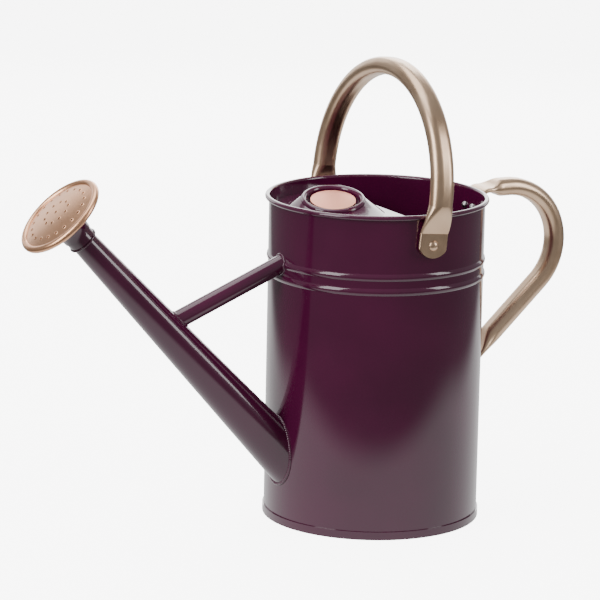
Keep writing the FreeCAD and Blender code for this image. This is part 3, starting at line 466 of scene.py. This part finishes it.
class WATERINGCAN_OT_body(bpy.types.Operator):
    """Enamel the can's wall and base, with the wire and sealant in their seams"""

    bl_idname = "watering_can.body"
    bl_label = "Body and base"

    def execute(self, context):
        paint(["body_shell", "base_plate"], made(plum_enamel))
        paint(["rim_wire"], made(zinc_steel))
        paint(["base_seam_seal"], made(seam_sealant))
        return {"FINISHED"}


class WATERINGCAN_OT_cover(bpy.types.Operator):
    """Enamel the half-moon cover and give its badge copper and its stud and clip zinc"""

    bl_idname = "watering_can.cover"
    bl_label = "Cover and badge"

    def execute(self, context):
        paint(["top_cover"], made(plum_enamel))
        paint(["cover_badge"], made(polished_copper))
        paint(["badge_stud", "badge_clip"], made(zinc_steel))
        return {"FINISHED"}


class WATERINGCAN_OT_spout(bpy.types.Operator):
    """Enamel the spout and its brace and lay the rippled weld beads round their ends"""

    bl_idname = "watering_can.spout"
    bl_label = "Spout, brace and welds"

    def execute(self, context):
        enamel = made(plum_enamel)
        paint(["spout_tube", "spout_brace"], enamel)
        sizes = settings()[0]
        values = {"Height": sizes.weld_height, "Ripple": sizes.ripple_pitch, "Material": enamel}
        root = self.saddle(SPOUT_START, SPOUT_AXIS, self.spout_radius)
        bead = loose_mesh("spout_weld", root, self.loop(root))
        stands(grow(bead, made(weld_tree), values), "can", "purple_gloss_paint", "spout_weld_bead")
        wall = self.saddle(BRACE_START, BRACE_AXIS, lambda distance: BRACE_RADIUS)
        notch = self.notch()
        edges = self.loop(wall) + [(a + len(wall), b + len(wall)) for a, b in self.loop(notch)]
        bead = loose_mesh("brace_welds", wall + notch, edges)
        values["Height"] = sizes.weld_height * 0.8
        stands(grow(bead, made(weld_tree), values), "can", "purple_gloss_paint", "brace_weld_beads")
        return {"FINISHED"}

    def loop(self, points):
        return [(i, (i + 1) % len(points)) for i in range(len(points))]

    def spout_radius(self, distance):
        return SPOUT_RADIUS - distance * SPOUT_SLOPE

    def meeting(self, start, axis, radius_at, count, low, high, passed):
        """Go out along lines on a tube's surface, each to the place where the test is first passed."""
        side = axis.cross(ACROSS)
        points = []
        for i in range(count):
            angle = 2 * math.pi * i / count
            near, far = low, high
            for _ in range(40):
                middle = (near + far) / 2
                radius = radius_at(middle)
                spot = (start + axis * middle + side * (radius * math.cos(angle))
                        + Vector((0, radius * math.sin(angle), 0)))
                if passed(spot):
                    far = middle
                else:
                    near = middle
            points.append(tuple(spot))
        return points

    def saddle(self, start, axis, radius_at):
        """Where a tube meets the round wall."""
        return self.meeting(start, axis, radius_at, 96, -60.0, 60.0, self.clear_of_wall)

    def notch(self):
        """Where the brace meets the spout."""
        return self.meeting(BRACE_START, BRACE_AXIS, lambda distance: BRACE_RADIUS, 72, 40.0, 110.0,
                            self.in_spout)

    def clear_of_wall(self, spot):
        return math.hypot(spot.x, spot.y) > WALL_RADIUS + self.swell(spot.z)

    def in_spout(self, spot):
        along = (spot - SPOUT_START).dot(SPOUT_AXIS)
        away = (spot - SPOUT_START - SPOUT_AXIS * along).length
        return away < self.spout_radius(along)

    def swell(self, level):
        """How far the wall stands out at a level: the two swaged beads."""
        for bead in BEAD_LEVELS:
            away = abs(level - bead) / BEAD_HALF
            if away < 1:
                return 1.0 - away * away
        return 0.0


class WATERINGCAN_OT_rose(bpy.types.Operator):
    """Plate the rose's face, punch up the lips of its spray holes and enamel its back"""

    bl_idname = "watering_can.rose"
    bl_label = "Rose"

    def execute(self, context):
        copper = made(copper_plate)
        paint(["rose_face"], copper)
        paint(["rose_back", "rose_sleeve"], made(plum_enamel))
        paint(["rose_seal"], made(black_rubber))
        sizes = settings()[0]
        bore = sizes.hole_radius / MM
        lip = sizes.hole_lip / MM
        profile = [(bore + out, height) for out, height in (
            (0.02, -0.3), (0.02, lip * 0.6), (0.12, lip), (0.3, lip * 0.75), (0.62, lip * 0.15),
            (0.85, -0.08),
        )]
        shape = lathe("spray_lip_shape", profile, 20, copper)
        side = ACROSS.cross(SPOUT_AXIS)
        points, ways = [], []
        for radius, count in SPRAY_RINGS:
            for i in range(count):
                angle = 2 * math.pi * i / count
                rise = ROSE_DOME - ROSE_BALL + math.sqrt(ROSE_BALL * ROSE_BALL - radius * radius)
                out = side * math.cos(angle) + ACROSS * math.sin(angle)
                points.append(tuple(ROSE_RIM + out * radius + SPOUT_AXIS * rise))
                way = out * radius + SPOUT_AXIS * (rise - ROSE_DOME + ROSE_BALL)
                ways.append(tuple(way.normalized()))
        lips = studs("spray_hole_lips", shape, points, ways, copper)
        stands(lips, "rose", "brushed_copper")
        return {"FINISHED"}


class WATERINGCAN_OT_bail(bpy.types.Operator):
    """Lacquer the swinging bail"""

    bl_idname = "watering_can.bail"
    bl_label = "Bail"

    def execute(self, context):
        paint(["bail_handle"], made(bronze_lacquer))
        return {"FINISHED"}


class WATERINGCAN_OT_back_handle(bpy.types.Operator):
    """Lacquer the fixed back handle"""

    bl_idname = "watering_can.back_handle"
    bl_label = "Back handle"

    def execute(self, context):
        paint(["rear_handle"], made(bronze_lacquer))
        return {"FINISHED"}


class WATERINGCAN_OT_rivets(bpy.types.Operator):
    """Finish the rivets and washers of both handles"""

    bl_idname = "watering_can.rivets"
    bl_label = "Rivets and washers"

    def execute(self, context):
        paint(["bail_rivet_left", "bail_rivet_right"], made(bronze_lacquer))
        paint(["bail_spacer_washers", "bail_backing_washers", "rear_handle_upper_rivets",
               "rear_handle_lower_rivets"], made(zinc_steel))
        return {"FINISHED"}


# ---------------------------------------------------------------- stage

FLOOR_GLOW = 7.0
# glow of the painted pool of light mirrored in the enamel, near the can and in front
POOL_BRIGHT, POOL_DIM = 1.15, 0.2
POOL_EDGE = (0.25, 0.37)
WALL_GLOW = 1.7
ROOM_GLOW, ROOM_MIRRORED = 0.26, 0.34
SOFTBOXES = (
    # name, place and aim in metres, width, height, power in watts
    ("softbox_above", (-0.2, 0.35, 1.7), (0, 0, 0.1), 1.6, 1.2, 17.0),
    ("softbox_left", (-1.5, -0.35, 0.85), (0, 0, 0.2), 0.7, 1.5, 20.0),
    ("softbox_right", (1.25, -1.25, 0.95), (0, 0, 0.2), 0.6, 1.3, 13.0),
    ("softbox_behind", (0.9, 1.5, 0.9), (0, 0, 0.2), 1.2, 1.2, 14.0),
)


def square(reach, level):
    """The corners of a level square centred on the can."""
    return [(-reach, -reach, level), (reach, -reach, level), (reach, reach, level),
            (-reach, reach, level)]


def card(name, points, material):
    """A plain glowing sheet that only shows in reflections."""
    item = loose_mesh(name, points, faces=[tuple(range(len(points)))])
    item.data.materials.append(material)
    item.visible_camera = False
    item.visible_diffuse = False
    item.visible_shadow = False
    item.visible_transmission = False
    return item


class WATERINGCAN_OT_stage(bpy.types.Operator):
    """Set up the white floor, the soft studio light and the camera"""

    bl_idname = "watering_can.stage"
    bl_label = "Stage"

    def execute(self, context):
        self.floor()
        self.world(context.scene)
        self.lights()
        self.camera(context.scene)
        return {"FINISHED"}

    def floor(self):
        plane = loose_mesh("floor", square(12000.0, 0), faces=[(0, 1, 2, 3)])
        material, tree, where = new_material("matt white paper")
        base = drift(tree, where, 80.0, linear("#F4F3F2"), linear("#F0EFEE"))
        shade(tree, {"Roughness": 0.9, "IOR": 1.3, "Emission Color": (1.0, 1.0, 1.0, 1.0),
                     "Emission Strength": FLOOR_GLOW}, {"Base Color": base})
        plane.data.materials.append(material)
        plane.visible_glossy = False
        plane.visible_diffuse = False
        self.floor_card()
        self.backdrop()

    def floor_card(self):
        """A glowing card that stands in for the floor in reflections: a painted pool of light round the
        can that fades towards the front and stays bright behind it, where the floor is bright enough to
        be mirrored in the enamel."""
        material, tree, where = new_material("painted light pool")
        local = node(tree, "ShaderNodeMapping", {"vector_type": "TEXTURE"},
                     {"Rotation": (0.0, 0.0, VIEW_AZIMUTH)}, {"Vector": where})
        split = node(tree, "ShaderNodeSeparateXYZ", links={"Vector": local.outputs["Vector"]})
        flip = node(tree, "ShaderNodeMath", {"operation": "MULTIPLY"}, {1: -1.0},
                    {0: split.outputs["Y"]})
        front = node(tree, "ShaderNodeMath", {"operation": "MAXIMUM"}, {1: 0.0}, {0: flip.outputs[0]})
        side = node(tree, "ShaderNodeMath", {"operation": "ABSOLUTE"}, links={0: split.outputs["X"]})
        wide = node(tree, "ShaderNodeMath", {"operation": "MULTIPLY"}, {1: 0.62}, {0: side.outputs[0]})
        spot = node(tree, "ShaderNodeCombineXYZ", links={"X": wide.outputs[0], "Y": front.outputs[0]})
        far = node(tree, "ShaderNodeVectorMath", {"operation": "LENGTH"}, links={0: spot.outputs[0]})
        # painted pool of light: the glow fades from bright round the can to dim in front
        fade = node(tree, "ShaderNodeMapRange", {"interpolation_type": "SMOOTHSTEP"},
                    {"From Min": POOL_EDGE[0], "From Max": POOL_EDGE[1], "To Min": POOL_BRIGHT,
                     "To Max": POOL_DIM}, {"Value": far.outputs["Value"]})
        self.glow(tree, links={"Strength": fade.outputs["Result"]})
        card("lit_floor", square(2500, 0.2), material)

    def backdrop(self):
        """The bright wall behind the can, mirrored at the can's edges and in the rose."""
        material, tree, _ = new_material("lit wall")
        self.glow(tree, {"Strength": WALL_GLOW})
        behind = BEHIND * 2200.0
        up = Vector((0.0, 0.0, 2300.0))
        left, right = behind - VIEW_RIGHT * 2600.0, behind + VIEW_RIGHT * 2000.0
        card("lit_wall", [tuple(c) for c in (left, right, right + up, left + up)], material)

    def glow(self, tree, values=None, links=None):
        lamp = node(tree, "ShaderNodeEmission", values={"Color": (1, 1, 1, 1), **(values or {})},
                    links=links)
        node(tree, "ShaderNodeOutputMaterial", links={"Surface": lamp.outputs[0]})

    def world(self, scene):
        world = bpy.data.worlds.new("studio")
        scene.world = world
        world.use_nodes = True
        tree = world.node_tree
        tree.nodes.clear()
        ray = node(tree, "ShaderNodeLightPath")
        room = node(tree, "ShaderNodeBackground", values={"Color": (1, 1, 1, 1), "Strength": ROOM_GLOW})
        dim = node(tree, "ShaderNodeBackground",
                   values={"Color": (0.95, 0.97, 1, 1), "Strength": ROOM_MIRRORED})
        mix = node(tree, "ShaderNodeMixShader",
                   links={0: ray.outputs["Is Glossy Ray"], 1: room.outputs[0], 2: dim.outputs[0]})
        node(tree, "ShaderNodeOutputWorld", links={"Surface": mix.outputs[0]})

    def lights(self):
        for name, place, aim, wide, tall, power in SOFTBOXES:
            lamp = bpy.data.lights.new(name, "AREA")
            lamp.shape = "RECTANGLE"
            lamp.size = wide
            lamp.size_y = tall
            lamp.energy = power
            item = bpy.data.objects.new(name, lamp)
            way = Vector(aim) - Vector(place)
            turn = way.to_track_quat("-Z", "Y").to_matrix().to_4x4()
            item.matrix_world = Matrix.Translation(place) @ turn
            bpy.context.scene.collection.objects.link(item)

    def camera(self, scene):
        back = Vector((math.sin(VIEW_AZIMUTH) * math.cos(VIEW_ELEVATION),
                       -math.cos(VIEW_AZIMUTH) * math.cos(VIEW_ELEVATION), math.sin(VIEW_ELEVATION)))
        right, up = VIEW_RIGHT, back.cross(VIEW_RIGHT)
        target = Vector((0.0, 0.0, 130.0)) - right * 53.82 + up * 25.43
        right, up = (right * math.cos(VIEW_ROLL) + up * math.sin(VIEW_ROLL),
                     up * math.cos(VIEW_ROLL) - right * math.sin(VIEW_ROLL))
        lens = bpy.data.cameras.new("camera")
        lens.sensor_width = 36.0
        lens.lens = 219.996
        lens.clip_end = 100.0
        item = bpy.data.objects.new("camera", lens)
        place = (target + back * VIEW_DISTANCE) * MM
        item.matrix_world = Matrix.Translation(place) @ Matrix((right, up, back)).transposed().to_4x4()
        scene.collection.objects.link(item)
        scene.camera = item


PIECES = (
    WATERINGCAN_OT_body,
    WATERINGCAN_OT_cover,
    WATERINGCAN_OT_spout,
    WATERINGCAN_OT_rose,
    WATERINGCAN_OT_bail,
    WATERINGCAN_OT_back_handle,
    WATERINGCAN_OT_rivets,
    WATERINGCAN_OT_stage,
)


class WATERINGCAN_PT_panel(bpy.types.Panel):
    """Sizes, colours and pieces of the watering can"""

    bl_idname = "WATERINGCAN_PT_panel"
    bl_label = "Watering Can"
    bl_space_type = "VIEW_3D"
    bl_region_type = "UI"
    bl_category = "Watering Can"

    def draw(self, context):
        for group in settings():
            box = self.layout.box()
            for name in group.__annotations__:
                box.prop(group, name)
        for piece in PIECES:
            self.layout.operator(piece.bl_idname)


CLASSES = (WateringCanSizes, WateringCanColours, *PIECES, WATERINGCAN_PT_panel)


def register():
    for item in CLASSES:
        bpy.utils.register_class(item)
    bpy.types.Scene.watering_can_sizes = bpy.props.PointerProperty(type=WateringCanSizes)
    bpy.types.Scene.watering_can_colours = bpy.props.PointerProperty(type=WateringCanColours)


def unregister():
    del bpy.types.Scene.watering_can_colours
    del bpy.types.Scene.watering_can_sizes
    for item in reversed(CLASSES):
        bpy.utils.unregister_class(item)


def main():
    register()
    for piece in PIECES:
        group, name = piece.bl_idname.split(".")
        getattr(getattr(bpy.ops, group), name)()


if __name__ == "__main__":
    main()
